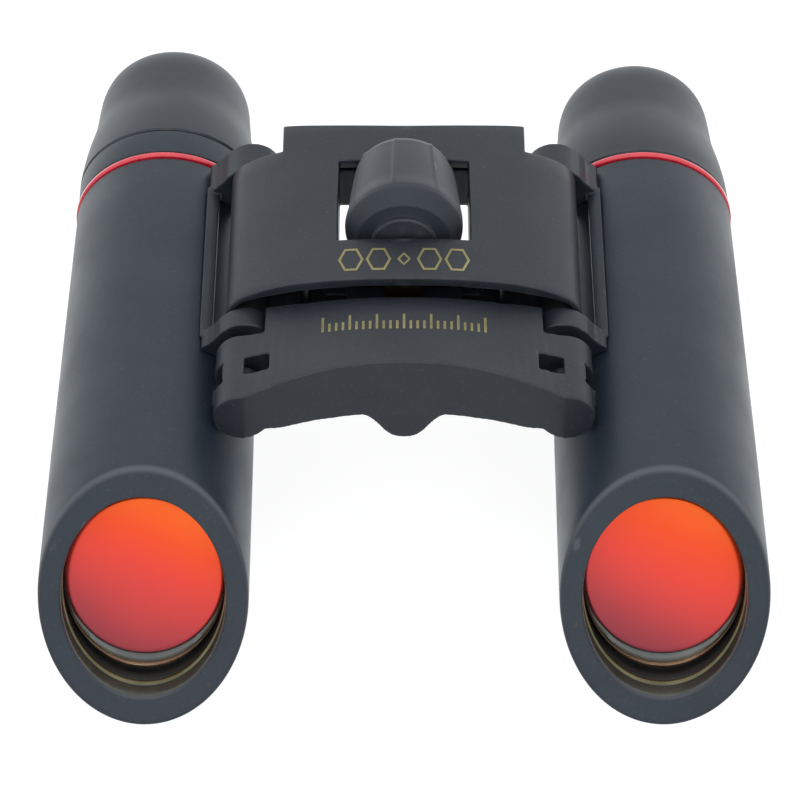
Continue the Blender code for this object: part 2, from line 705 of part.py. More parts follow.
bridge()
for barrel_tag, barrel_side in SIDES.items():
    barrel(barrel_tag, barrel_side)
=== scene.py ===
"""Looks of the compact folding binoculars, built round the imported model.

Shapes are worked out in millimetres in the row frame and turned into metres when a mesh is made.
Every place comes from the boxes of the CAD nodes. Angles round a barrel start at +X and turn
towards +Z. Depths into a barrel are measured along Y from its raked rim plane.
"""
import math

import bmesh
import bpy
from mathutils import Matrix, Vector


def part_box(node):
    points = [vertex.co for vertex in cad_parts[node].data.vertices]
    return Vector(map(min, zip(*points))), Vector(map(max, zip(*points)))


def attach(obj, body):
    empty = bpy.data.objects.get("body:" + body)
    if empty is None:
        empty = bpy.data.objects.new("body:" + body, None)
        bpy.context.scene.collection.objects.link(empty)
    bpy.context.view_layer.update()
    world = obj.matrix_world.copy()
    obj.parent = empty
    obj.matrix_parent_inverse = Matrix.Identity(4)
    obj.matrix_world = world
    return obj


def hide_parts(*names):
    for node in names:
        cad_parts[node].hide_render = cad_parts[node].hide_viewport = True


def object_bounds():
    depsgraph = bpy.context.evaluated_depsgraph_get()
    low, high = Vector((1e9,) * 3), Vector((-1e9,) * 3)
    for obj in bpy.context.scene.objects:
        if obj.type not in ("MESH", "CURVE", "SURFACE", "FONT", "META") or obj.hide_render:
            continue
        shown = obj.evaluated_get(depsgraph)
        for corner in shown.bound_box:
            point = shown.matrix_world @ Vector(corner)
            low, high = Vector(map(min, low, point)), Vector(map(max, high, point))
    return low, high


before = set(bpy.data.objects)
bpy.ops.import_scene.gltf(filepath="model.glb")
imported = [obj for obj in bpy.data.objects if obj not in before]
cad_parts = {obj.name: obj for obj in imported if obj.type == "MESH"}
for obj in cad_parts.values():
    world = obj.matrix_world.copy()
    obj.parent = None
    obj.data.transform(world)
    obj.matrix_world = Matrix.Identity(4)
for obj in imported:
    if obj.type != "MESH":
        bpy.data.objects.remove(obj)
cad_low, cad_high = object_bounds()

MM = 0.001
RAKE = math.radians(36.4)          # lean of the objective rims
SLOPE = math.tan(RAKE)
RIM_OUT = Vector((0, -math.cos(RAKE), math.sin(RAKE)))
RIM_UP = Vector((0, math.sin(RAKE), math.cos(RAKE)))
ROUND = 160                        # sides of the large turned pieces
SMALL_ROUND = 96
SIDES = {"right": -1, "left": 1}
WINDOW_HALF = 9.19                 # half the width of the wheel's window in the bridge
PIN_BORE = 1.5                     # radius of the hinge pins' bores
PLATE_LENGTH = 16.9                # of the slider's plate, along Y


def box_mm(node):
    low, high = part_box(node)
    return low / MM, high / MM


# ---------------------------------------------------------------- node graphs

class Finish:
    """A Principled material with short calls for the nodes that all the finishes share."""

    def __init__(self, name, **constants):
        self.material = bpy.data.materials.new(name)
        self.material.use_nodes = True
        self.tree = self.material.node_tree
        self.shader = self.tree.nodes["Principled BSDF"]
        self.place = self.node("ShaderNodeTexCoord").outputs["Object"]
        for socket, value in constants.items():
            self.shader.inputs[socket.replace("_", " ")].default_value = value

    def node(self, kind, **settings):
        made = self.tree.nodes.new(kind)
        for key, value in settings.items():
            setattr(made, key, value)
        return made

    def link(self, source, target):
        self.tree.links.new(source, target)

    def stretched(self, x, y, z):
        """Object coordinates scaled along each axis."""
        mapping = self.node("ShaderNodeMapping")
        mapping.inputs["Scale"].default_value = (x, y, z)
        self.link(self.place, mapping.inputs["Vector"])
        return mapping.outputs["Vector"]

    def noise(self, size, detail=3.0, roughness=0.55, place=None):
        """Noise whose blobs are about size millimetres across."""
        made = self.node("ShaderNodeTexNoise")
        made.inputs["Scale"].default_value = 1 / (size * MM)
        made.inputs["Detail"].default_value = detail
        made.inputs["Roughness"].default_value = roughness
        self.link(place or self.place, made.inputs["Vector"])
        return made.outputs["Fac"]

    def mapped(self, value, low, high, to_low=0.0, to_high=1.0):
        made = self.node("ShaderNodeMapRange")
        for socket, number in zip(("From Min", "From Max", "To Min", "To Max"), (low, high, to_low, to_high)):
            made.inputs[socket].default_value = number
        self.link(value, made.inputs["Value"])
        return made.outputs["Result"]

    def math(self, operation, first, second):
        made = self.node("ShaderNodeMath", operation=operation)
        for socket, value in zip(made.inputs, (first, second)):
            if isinstance(value, (int, float)):
                socket.default_value = value
            else:
                self.link(value, socket)
        return made.outputs["Value"]

    def ramp(self, value, stops):
        made = self.node("ShaderNodeValToRGB")
        elements = made.color_ramp.elements
        while len(elements) < len(stops):
            elements.new(0.5)
        for element, (position, colour) in zip(elements, stops):
            element.position = position
            element.color = (*colour, 1.0)
        self.link(value, made.inputs["Fac"])
        return made.outputs["Color"]

    def blend(self, factor, first, second, mode="MIX"):
        made = self.node("ShaderNodeMix", data_type="RGBA", blend_type=mode)
        for socket, value in zip((made.inputs[0], made.inputs[6], made.inputs[7]), (factor, first, second)):
            if isinstance(value, (int, float)):
                socket.default_value = value
            elif isinstance(value, tuple):
                socket.default_value = (*value, 1.0)
            else:
                self.link(value, socket)
        return made.outputs[2]

    def edges(self, low=0.515, high=0.60):
        """1 on convex edges and 0 on faces."""
        return self.mapped(self.node("ShaderNodeNewGeometry").outputs["Pointiness"], low, high)

    def colour(self, value):
        self.link(value, self.shader.inputs["Base Color"])

    def rough(self, value):
        self.link(value, self.shader.inputs["Roughness"])

    def bump(self, *layers):
        """Layers of (height, depth in millimetres), each over the last."""
        normal = None
        for height, depth in layers:
            made = self.node("ShaderNodeBump")
            made.inputs["Distance"].default_value = depth * MM
            self.link(height, made.inputs["Height"])
            if normal:
                self.link(normal, made.inputs["Normal"])
            normal = made.outputs["Normal"]
        self.link(normal, self.shader.inputs["Normal"])


def plastic(name, dark, light, worn, rough, grain, depth, rim=None, **constants):
    """Moulded plastic: cloudy colour, fine grain, worn edges, rubbed patches and a few hairline marks.

    With rim, a (y, z) point in millimetres on a raked rim plane, a thin band behind that rim's edge is
    painted pale as a painted highlight.
    """
    made = Finish(name, **constants)
    clouds = made.noise(9.0, 4.0)
    base = made.ramp(clouds, [(0.35, dark), (0.68, light)])
    speck = made.noise(grain * 1.6, 2.0)
    base = made.blend(made.mapped(speck, 0.60, 0.78, 0.0, 0.30), base, worn)
    wear = made.math("MULTIPLY", made.edges(), made.mapped(made.noise(2.2, 5.0), 0.35, 0.65))
    base = made.blend(made.math("MULTIPLY", wear, 0.55), base, worn)
    if rim:
        # Painted highlight: a thin band just behind the rim plane is blended towards the pale worn colour. It
        # stands in for the rim edge's reflection of the bright surroundings.
        split = made.node("ShaderNodeSeparateXYZ")
        made.link(made.place, split.inputs["Vector"])
        leaning = made.math("MULTIPLY", made.math("SUBTRACT", split.outputs["Z"], rim[1] * MM), SLOPE)
        behind = made.math("SUBTRACT", made.math("SUBTRACT", split.outputs["Y"], rim[0] * MM), leaning)
        band = made.math("MULTIPLY", made.mapped(behind, 0.10 * MM, 0.40 * MM),
                         made.mapped(behind, 1.3 * MM, 0.7 * MM))
        base = made.blend(made.math("MULTIPLY", band, 0.85), base, worn)
    made.colour(base)
    scratch = made.noise(0.5, 3.0, 0.6, made.stretched(1.0, 0.035, 1.0))
    scratch = made.mapped(scratch, 0.66, 0.74)
    rubbed = made.mapped(made.noise(14.0, 3.0), 0.35, 0.7, rough - 0.05, rough + 0.06)
    rubbed = made.math("SUBTRACT", rubbed, made.math("MULTIPLY", wear, 0.12))
    made.rough(made.math("ADD", rubbed, made.math("MULTIPLY", scratch, 0.05)))
    made.bump((made.noise(7.0, 2.0), 0.05), (made.noise(grain, 3.0, 0.7), depth), (scratch, -0.004))
    return made.material


def metal(name, dark, light, rough, brushed=(1.0, 0.05, 1.0), **constants):
    """Turned or brushed metal: fine lines and a cloudy tint."""
    made = Finish(name, Metallic=1.0, **constants)
    lines = made.noise(0.16, 3.0, 0.6, made.stretched(*brushed))
    tint = made.ramp(made.noise(4.0, 3.0), [(0.35, dark), (0.7, light)])
    made.colour(made.blend(made.mapped(lines, 0.4, 0.75, 0.0, 0.25), tint, light))
    made.rough(made.mapped(lines, 0.3, 0.7, rough - 0.06, rough + 0.08))
    made.bump((lines, 0.006))
    return made.material


def ruby(name, window):
    """The mirror-like front glass: a red coating with a painted reflection, bright orange at its upper edge,
    dark crimson at the lower one and brighter towards +X.
    """
    low, high = window
    made = Finish(name, Metallic=0.7, Coat_Weight=0.15, Coat_Roughness=0.05, Specular_IOR_Level=0.25)
    split = made.node("ShaderNodeSeparateXYZ")
    made.link(made.place, split.inputs["Vector"])
    # Painted reflection and shade: the coating's colour runs from dark crimson at the bottom to bright orange
    # at the top, and leans brighter towards +X.
    up = made.mapped(split.outputs["Z"], low.z * MM, high.z * MM)
    across = made.mapped(split.outputs["X"], low.x * MM, high.x * MM, -0.5, 0.5)
    wave = made.mapped(made.noise(16.0, 1.0, 0.4), 0.3, 0.7, -0.05, 0.05)
    height = made.math("ADD", made.math("ADD", up, made.math("MULTIPLY", across, 0.42)), wave)
    tint = made.ramp(height, [
        (0.00, (0.250, 0.036, 0.048)), (0.16, (0.360, 0.042, 0.050)), (0.36, (0.560, 0.050, 0.046)),
        (0.56, (0.710, 0.056, 0.036)), (0.78, (0.800, 0.070, 0.016)), (1.00, (0.880, 0.115, 0.012)),
    ])
    made.colour(tint)
    made.rough(made.mapped(made.noise(3.0, 4.0), 0.3, 0.7, 0.16, 0.24))
    made.bump((made.noise(20.0, 1.0), 0.03))
    return made.material


def glass(name, dark, light, rough, **constants):
    """Coated glass seen as a tinted gloss, with a film of dust."""
    made = Finish(name, Coat_Weight=1.0, Coat_Roughness=0.03, **constants)
    film = made.noise(5.0, 4.0)
    dust = made.mapped(made.noise(0.35, 2.0), 0.70, 0.80)
    made.colour(made.blend(made.math("MULTIPLY", dust, 0.3), made.ramp(film, [(0.3, dark), (0.7, light)]),
                           (0.35, 0.36, 0.36)))
    made.rough(made.mapped(film, 0.3, 0.7, rough, rough + 0.06))
    made.bump((film, 0.01))
    return made.material


def floor_finish():
    made = Finish("pale_floor", Roughness=0.9, Specular_IOR_Level=0.1, Emission_Strength=0.90)
    made.colour(made.ramp(made.noise(60.0, 3.0), [(0.3, (0.24, 0.24, 0.24)), (0.7, (0.27, 0.27, 0.27))]))
    made.shader.inputs["Emission Color"].default_value = (1.0, 1.0, 1.0, 1.0)
    return made.material


SOFT_BLACK = ((0.0085, 0.0160, 0.0265), (0.0120, 0.0205, 0.0330), (0.075, 0.084, 0.098), 0.44, 0.30, 0.012)
finishes = {
    "soft_black": plastic("soft_black", *SOFT_BLACK),
    "eyecup_rubber": plastic("eyecup_rubber", (0.0105, 0.0160, 0.0240), (0.0150, 0.0205, 0.0295),
                             (0.060, 0.065, 0.075), 0.50, 0.22, 0.014,
                             Sheen_Weight=0.15, Sheen_Roughness=0.5),
    "moulded_black": plastic("moulded_black", (0.0095, 0.0135, 0.0195), (0.0135, 0.0175, 0.0245),
                             (0.085, 0.090, 0.102), 0.43, 0.26, 0.012),
    "chassis_black": plastic("chassis_black", (0.0120, 0.0140, 0.0175), (0.0160, 0.0185, 0.0225),
                             (0.070, 0.074, 0.082), 0.50, 0.24, 0.016),
    "inner_black": plastic("inner_black", (0.0080, 0.0085, 0.0095), (0.0120, 0.0125, 0.0135),
                           (0.080, 0.075, 0.060), 0.36, 0.18, 0.006, Metallic=0.3),
    "steel": metal("steel", (0.10, 0.105, 0.115), (0.17, 0.175, 0.19), 0.34),
    "brass": metal("brass", (0.055, 0.045, 0.028), (0.11, 0.09, 0.05), 0.40),
    "clear_glass": glass("clear_glass", (0.30, 0.36, 0.34), (0.42, 0.50, 0.47), 0.03,
                         Transmission_Weight=0.6, IOR=1.5),
    "coated_glass": glass("coated_glass", (0.020, 0.016, 0.050), (0.050, 0.040, 0.095), 0.03, Metallic=0.25),
}
red_gloss = Finish("red_gloss", Coat_Weight=0.8, Coat_Roughness=0.08)
red_gloss.colour(red_gloss.ramp(red_gloss.noise(3.0), [
    (0.3, (0.62, 0.012, 0.030)), (0.7, (0.74, 0.022, 0.045)),
]))
red_gloss.rough(red_gloss.mapped(red_gloss.noise(0.8, 4.0), 0.3, 0.7, 0.22, 0.34))
red_gloss.bump((red_gloss.noise(0.5, 3.0), 0.006))
finishes["red_gloss"] = red_gloss.material
lens_side = glass("lens_side", (0.030, 0.036, 0.032), (0.085, 0.090, 0.080), 0.16)
gold_ring = metal("gold_ring", (0.42, 0.27, 0.16), (0.62, 0.44, 0.29), 0.30, (0.1, 1.0, 0.1))
olive_ring = metal("olive_ring", (0.10, 0.090, 0.050), (0.17, 0.150, 0.085), 0.34, (0.1, 1.0, 0.1))
bronze_wall = plastic("bronze_wall", (0.036, 0.038, 0.032), (0.074, 0.075, 0.058), (0.13, 0.13, 0.11),
                      0.30, 0.5, 0.010, Metallic=0.45)
gold_ink = metal("gold_ink", (0.26, 0.23, 0.11), (0.38, 0.34, 0.17), 0.45, (0.4, 0.4, 1.0))


# ---------------------------------------------------------------- mesh helpers

def add_piece(name, bm, body, material, replaced=(), sharp=38.0):
    """Makes the mesh (in millimetres) an object that rides on a body. Edges over sharp degrees stay crisp."""
    bmesh.ops.recalc_face_normals(bm, faces=bm.faces)
    for face in bm.faces:
        face.smooth = True
    for edge in bm.edges:
        edge.smooth = not edge.is_manifold or edge.calc_face_angle(0) < math.radians(sharp)
    mesh = bpy.data.meshes.new(name)
    bm.to_mesh(mesh)
    bm.free()
    mesh.transform(Matrix.Scale(MM, 4))
    mesh.materials.append(material)
    obj = bpy.data.objects.new(name, mesh)
    bpy.context.scene.collection.objects.link(obj)
    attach(obj, body)
    if replaced:
        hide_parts(*replaced)
    return obj


def filleted(points, default, closed=True, count=4):
    """The points of an outline with its corners rounded. A point may end with a radius of its own."""
    out = []
    for i, point in enumerate(points):
        here = Vector(point[:2])
        radius = point[2] if len(point) > 2 else default
        if radius == 0 or (not closed and i in (0, len(points) - 1)):
            out.append(here)
            continue
        before = Vector(points[i - 1][:2]) - here
        after = Vector(points[(i + 1) % len(points)][:2]) - here
        start = here + before.normalized() * min(radius, 0.45 * before.length)
        end = here + after.normalized() * min(radius, 0.45 * after.length)
        for k in range(count + 1):
            t = k / count
            out.append(start * (1 - t) ** 2 + here * 2 * t * (1 - t) + end * t * t)
    return out


def skin(bm, rings, closed_rows=True, closed_rings=True):
    """Quads between rings of vertices that all have the same count. A ring of one vertex closes a cap."""
    count = len(rings)
    last = count if closed_rows else count - 1
    for i in range(last):
        a, b = rings[i], rings[(i + 1) % count]
        size = max(len(a), len(b))
        for j in range(size if closed_rings else size - 1):
            k = (j + 1) % size
            corners = [a[j % len(a)], a[k % len(a)], b[k % len(b)], b[j % len(b)]]
            unique = []
            for vert in corners:
                if vert not in unique:
                    unique.append(vert)
            if len(unique) > 2:
                bm.faces.new(unique)


def turned(profile, x, z, steps=ROUND, shape=None):
    """A mesh turned about the line along Y through (x, z), from points (radius, y).

    A profile whose ends are on the axis makes a solid, and any other makes a ring.
    shape(angle, radius, y) may change the radius.
    """
    bm = bmesh.new()
    rings = []
    for radius, y in profile:
        if radius < 1e-6:
            rings.append([bm.verts.new((x, y, z))])
            continue
        ring = []
        for j in range(steps):
            angle = 2 * math.pi * j / steps
            r = shape(angle, radius, y) if shape else radius
            ring.append(bm.verts.new((x + r * math.cos(angle), y, z + r * math.sin(angle))))
        rings.append(ring)
    skin(bm, rings, closed_rows=len(rings[0]) > 1)
    return bm


def raked(rows, barrel, steps=ROUND):
    """Like turned, but each point is (radius, y, lean): lean 1 sets it parallel to the rim plane."""
    bm = bmesh.new()
    rings = []
    for radius, y, lean in rows:
        ring = []
        for j in range(steps):
            angle = 2 * math.pi * j / steps
            shift = lean * radius * math.sin(angle) * SLOPE
            ring.append(bm.verts.new((barrel["x"] + radius * math.cos(angle), y + shift,
                                      barrel["z"] + radius * math.sin(angle))))
        rings.append(ring)
    skin(bm, rings)
    return bm


def extruded(outline, start, end):
    """A closed outline of (x, z) points, extruded along Y."""
    bm = bmesh.new()
    near = [bm.verts.new((x, start, z)) for x, z in outline]
    far = [bm.verts.new((x, end, z)) for x, z in outline]
    skin(bm, [near, far], closed_rows=False)
    bm.faces.new(near)
    bm.faces.new(far)
    bmesh.ops.recalc_face_normals(bm, faces=bm.faces)
    return bm


def block(low, high):
    bm = bmesh.new()
    bmesh.ops.create_cube(bm, size=1.0)
    size = Vector(high) - Vector(low)
    bmesh.ops.scale(bm, vec=size, verts=bm.verts)
    bmesh.ops.translate(bm, vec=(Vector(high) + Vector(low)) / 2, verts=bm.verts)
    return bm


def plan_extruded(outline, low, high):
    """A closed outline of (x, y) points, extruded upwards."""
    bm = bmesh.new()
    lower = [bm.verts.new((x, y, low)) for x, y in outline]
    upper = [bm.verts.new((x, y, high)) for x, y in outline]
    skin(bm, [lower, upper], closed_rows=False)
    bm.faces.new(lower)
    bm.faces.new(upper)
    bmesh.ops.recalc_face_normals(bm, faces=bm.faces)
    return bm


def post(radius, x, y, low, high):
    """A cylinder along Z."""
    bm = bmesh.new()
    bmesh.ops.create_cone(bm, cap_ends=True, segments=64, radius1=radius, radius2=radius, depth=high - low)
    bmesh.ops.translate(bm, vec=(x, y, (low + high) / 2), verts=bm.verts)
    return bm


def rod(radius, x, z, start, end, steps=47):
    """A cylinder along Y."""
    return turned([(0, end), (radius, end), (radius, start), (0, start)], x, z, steps)


def arc(x, z, radius, first, last, count):
    points = []
    for i in range(count + 1):
        angle = math.radians(first + (last - first) * i / count)
        points.append((x + radius * math.cos(angle), z + radius * math.sin(angle)))
    return points


def smooth(points, count):
    """A dense curve that passes through all the points."""
    points = [Vector(p) for p in points]
    out = []
    for i in range(len(points) - 1):
        before = points[max(i - 1, 0)]
        after = points[min(i + 2, len(points) - 1)]
        a, b = points[i], points[i + 1]
        for k in range(count):
            t = k / count
            out.append(0.5 * (2 * a + (b - before) * t + (2 * before - 5 * a + 4 * b - after) * t ** 2
                              + (3 * a - before - 3 * b + after) * t ** 3))
    out.append(points[-1])
    return out


def between(value, low, high):
    """0 at low, 1 at high and a smooth step between them."""
    t = min(max((value - low) / (high - low), 0), 1)
    return t * t * (3 - 2 * t)


def mirrored(outline, side):
    if side > 0:
        return outline
    return [(-x, z) for x, z in reversed(outline)]


def cast(base, changes, voxel, relax):
    """A moulded solid: base joined with and cut by others in turn, then remeshed so that its edges are soft.

    changes lists (operation, mesh), where operation is UNION or DIFFERENCE.
    """
    def temporary(bm):
        mesh = bpy.data.meshes.new("temporary")
        bmesh.ops.recalc_face_normals(bm, faces=bm.faces)
        bm.to_mesh(mesh)
        bm.free()
        obj = bpy.data.objects.new("temporary", mesh)
        bpy.context.scene.collection.objects.link(obj)
        return obj

    body = temporary(base)
    tools = []
    for operation, tool in changes:
        modifier = body.modifiers.new("change", "BOOLEAN")
        modifier.operation = operation
        modifier.solver = "EXACT"
        modifier.object = temporary(tool)
        tools.append(modifier.object)
    remesh = body.modifiers.new("remesh", "REMESH")
    remesh.mode = "VOXEL"
    remesh.voxel_size = voxel
    softener = body.modifiers.new("softener", "SMOOTH")
    softener.factor = 0.5
    softener.iterations = relax
    bpy.context.view_layer.update()
    made = bpy.data.meshes.new_from_object(body.evaluated_get(bpy.context.evaluated_depsgraph_get()))
    bm = bmesh.new()
    bm.from_mesh(made)
    bpy.data.meshes.remove(made)
    for obj in [body, *tools]:
        mesh = obj.data
        bpy.data.objects.remove(obj)
        bpy.data.meshes.remove(mesh)
    return bm


# ---------------------------------------------------------------- barrels

def measured_barrel(tag):
    low, high = box_mm(tag + "_barrel_tube")
    radius = (high.x - low.x) / 2
    return {
        "tag": tag, "side": SIDES[tag], "body": tag + "_barrel", "x": (low.x + high.x) / 2,
        "z": low.z + radius, "r": radius, "rim": low.y + radius * SLOPE, "rear": high.y,
    }


def barrel_shell(barrel):
    """The tube: a tapered outside, a raked rim with rounded edges and a plain bore."""
    ring_low, ring_high = box_mm(barrel["tag"] + "_trim_ring")
    bezel_low, bezel_high = box_mm(barrel["tag"] + "_window_bezel")
    bore = (bezel_high.x - bezel_low.x) / 2 + 0.25
    shoulder = ring_low.y - 0.3
    rear_r = (ring_high.x - ring_low.x) / 2 - 0.2
    spigot = rear_r - 1.2
    outer, rim = barrel["r"], barrel["rim"]
    small = 0.3
    rows = [(bore, barrel["rear"], 0), (spigot, barrel["rear"], 0), (spigot, shoulder, 0),
            (rear_r - small, shoulder, 0)]
    for step in range(1, 5):
        angle = math.pi / 2 * step / 4
        rows.append((rear_r - small + small * math.sin(angle), shoulder - small * (1 - math.cos(angle)), 0))
    taper_end = rim + outer * SLOPE + 1.5
    for share in (0.25, 0.5, 0.75):
        rows.append((rear_r + (outer - rear_r) * share, shoulder + (taper_end - shoulder) * share, 0))
    soft = 1.0
    rows.append((outer, rim + soft * 3.2, 1))
    for step in range(7):
        t = step / 6
        along = soft * (1 - t) ** 2
        inward = soft * 0.9 * t ** 2
        rows.append((outer - inward, rim + along, 1))
    rows += [(outer - soft * 0.9 - 0.2, rim, 1), ((outer + bore) / 2, rim, 1), (bore + 0.55, rim, 1)]
    for step in range(5):
        t = step / 4
        inward = 0.35 * (1 - t) ** 2
        along = 0.35 * t ** 2
        rows.append((bore + inward, rim + along, 1))
    rows.append((bore, rim + 9.0, 1))
    # This finish carries the painted highlight along the rim's edge.
    finish = plastic(barrel["tag"] + "_soft_black", *SOFT_BLACK, rim=(rim, barrel["z"]))
    add_piece(barrel["tag"] + "_barrel_shell", raked(rows, barrel), barrel["body"], finish,
              [barrel["tag"] + "_barrel_tube"])


def eyecup(barrel):
    """The bullet-shaped rubber cup with a rolled lip and a stepped recess."""
    low, high = box_mm(barrel["tag"] + "_eyecup")
    base_r = (high.x - low.x) / 2
    start, lip = low.y, high.y
    seat = barrel["rear"] + 0.3
    ahead = [(0, 8.6), (0.12, 9.1), (0.4, 9.6), (1.3, 10.3), (2.6, 10.88), (4.6, 11.3), (8.0, 11.58),
             (11.4, 11.9), (16.0, 12.75), (20.0, 13.25), (lip - start - 0.25, base_r)]
    outside = [(p.y, lip - p.x) for p in smooth(ahead, 5)]
    inner = [(12.5, start), (12.5, seat), (9.0, seat), (9.0, lip - 7.6, 0.6), (7.3, lip - 5.4, 1.0),
             (6.75, lip - 3.6, 1.2), (6.7, lip - 1.6, 1.0), (7.1, lip - 0.25, 0.5)]
    profile = [(7.5, lip - 0.04), (8.2, lip)] + outside + [(base_r - 0.25, start)]
    profile += [tuple(p) for p in filleted(inner, 0.2, False)]
    add_piece(barrel["tag"] + "_soft_eyecup", turned(profile, barrel["x"], barrel["z"]), barrel["body"],
              finishes["eyecup_rubber"], [barrel["tag"] + "_eyecup"])


def band(barrel, node, name, body, finish, round_off, hollow):
    """A plain turned band with rounded outer edges, in the place of a CAD ring."""
    low, high = box_mm(node)
    outer = (high.x - low.x) / 2
    inner = outer - hollow
    profile = filleted([(outer, high.y), (outer, low.y), (inner, low.y, 0), (inner, high.y, 0)], round_off)
    add_piece(name, turned(profile, barrel["x"], barrel["z"]), body, finishes[finish], [node])


def window(barrel):
    """The front glass, with a slight dome and a chamfer."""
    low, high = box_mm(barrel["tag"] + "_front_window")
    radius = (high.x - low.x) / 2
    middle = (low + high) / 2
    section = []
    for i in range(25):
        r = (radius - 0.35) * i / 24
        section.append((r, 0.45 + 0.40 * (1 - (r / radius) ** 2)))
    section += [(radius - 0.2, 0.44), (radius - 0.08, 0.38), (radius, 0.24)]
    section += [(radius, -0.75), (radius - 0.15, -0.85), (0, -0.85)]
    bm = bmesh.new()
    rings = []
    for r, out in section:
        ring = []
        for j in range(ROUND if r else 1):
            angle = 2 * math.pi * j / ROUND
            across = Vector((r * math.cos(angle), 0, 0))
            up = RIM_UP * (r * math.sin(angle))
            ring.append(bm.verts.new(middle + across + up + RIM_OUT * out))
        rings.append(ring)
    skin(bm, rings, closed_rows=False)
    material = ruby(barrel["tag"] + "_ruby_glass", (low, high))
    add_piece(barrel["tag"] + "_ruby_window", bm, barrel["body"], material,
              [barrel["tag"] + "_front_window"], 25.0)
    return middle, radius


def crescents(barrel, middle, radius):
    """The stepped seat between the round glass and the longer raked bore, in bands of their own finish.

    Each band runs from one share to another of the way from the glass to the bore wall, and its
    heights, along the rim's normal, are those at its two edges and its middle.
    """
    low, high = box_mm(barrel["tag"] + "_window_bezel")
    bore = (high.x - low.x) / 2 + 0.2
    wall = Vector((bore, bore / math.cos(RAKE)))
    # The bore's axis meets the seat's plane a little above or below the glass's centre.
    offset = (Vector((barrel["x"], middle.y, barrel["z"])) - middle)
    shift = offset.z / math.cos(RAKE)
    bands = [
        ("glass_side", 0.02, 0.46, (0.10, 0.20, 0.10), lens_side, "clear_glass"),
        ("gold_seat", 0.46, 0.70, (0.15, 0.45, 0.25), gold_ring, "brass"),
        ("black_seat", 0.70, 1.00, (-0.30, -0.45, -0.10), finishes["inner_black"], "inner_black"),
    ]
    for name, first, last, heights, material, slot in bands:
        bm = bmesh.new()
        rings = []
        rows = [(0.0, heights[0] - 0.15), (0.12, heights[0]), (0.5, heights[1]), (0.88, heights[2]),
                (1.0, heights[2] - 0.15), (1.0, -1.3), (0.0, -1.3)]
        for share, out in rows:
            t = first + (last - first) * share
            ring = []
            for j in range(ROUND):
                angle = 2 * math.pi * j / ROUND
                inner = Vector((radius * math.cos(angle), radius * math.sin(angle)))
                outer = Vector((wall.x * math.cos(angle), wall.y * math.sin(angle) + shift))
                flat = inner.lerp(outer, t)
                ring.append(bm.verts.new(middle + Vector((flat.x, 0, 0)) + RIM_UP * flat.y + RIM_OUT * out))
            rings.append(ring)
        skin(bm, rings)
        replaced = [barrel["tag"] + "_window_bezel"] if name == "black_seat" else []
        add_piece(f"{barrel['tag']}_{name}", bm, barrel["body"], material, replaced)


def bore_lining(barrel):
    """Thin bands on the bore wall between the rim and the glass: dark groove, olive bead and bronze band."""
    low, high = box_mm(barrel["tag"] + "_window_bezel")
    bore = (high.x - low.x) / 2 + 0.24
    rim = barrel["rim"]
    bands = [
        ("groove_wall", 3.3, 5.2, 0.16, finishes["inner_black"], "inner_black"),
        ("olive_bead", 2.65, 3.3, 0.26, olive_ring, "brass"),
        ("bronze_band", 0.75, 2.35, 0.14, bronze_wall, "inner_black"),
    ]
    for name, first, last, thin, material, slot in bands:
        soft = 0.15
        rows = [(bore, rim + first, 1), (bore - thin * 0.8, rim + first + soft * 0.3, 1),
                (bore - thin, rim + first + soft, 1), (bore - thin, rim + last - soft, 1),
                (bore - thin * 0.8, rim + last - soft * 0.3, 1), (bore, rim + last, 1)]
        add_piece(f"{barrel['tag']}_{name}", raked(rows, barrel), barrel["body"], material)


def ocular(barrel):
    """The cell, the coated eye lens and its retaining ring, seen inside the eyecup."""
    tag = barrel["tag"]
    body = "right_ocular" if tag == "right" else "left_barrel"
    low, high = box_mm(tag + "_ocular_cell")
    rear, front = high.y, low.y
    cell = [(8.6, rear), (8.6, front + 10.4), (10.7, front + 10.0), (10.7, front), (9.3, front),
            (9.3, front + 7.6), (6.4, front + 8.0), (6.4, rear - 5.6), (7.3, rear - 5.4), (7.3, rear)]
    add_piece(tag + "_eye_cell", turned(filleted(cell, 0.15), barrel["x"], barrel["z"], SMALL_ROUND), body,
              finishes["inner_black"], [tag + "_ocular_cell"])
    low, high = box_mm(tag + "_eye_lens")
    radius = (high.x - low.x) / 2
    front_y, rear_y = low.y + 0.3, high.y - 0.7
    profile = [(radius * i / 12, rear_y + 0.7 * (1 - (i / 12) ** 2)) for i in range(13)]
    profile += [(radius * i / 12, front_y - 0.3 * (1 - (i / 12) ** 2)) for i in range(12, -1, -1)]
    add_piece(tag + "_eye_glass", turned(profile, barrel["x"], barrel["z"], SMALL_ROUND), body,
              finishes["coated_glass"], [tag + "_eye_lens"])
    low, high = box_mm(tag + "_eye_lens_retaining_ring")
    outer = (high.x - low.x) / 2
    ring = [(outer, high.y), (outer, low.y), (outer - 1.1, low.y), (outer - 0.8, high.y)]
    notch = math.radians(7)

    def spanner_slots(angle, radius, y):
        near = min(abs(angle - math.pi), angle, 2 * math.pi - angle)
        return radius + 0.35 if near < notch and radius < outer - 0.5 else radius

    slotted = turned(filleted(ring, 0.12), barrel["x"], barrel["z"], SMALL_ROUND, spanner_slots)
    add_piece(tag + "_eye_ring", slotted, body, finishes["inner_black"],
              [tag + "_eye_lens_retaining_ring"])


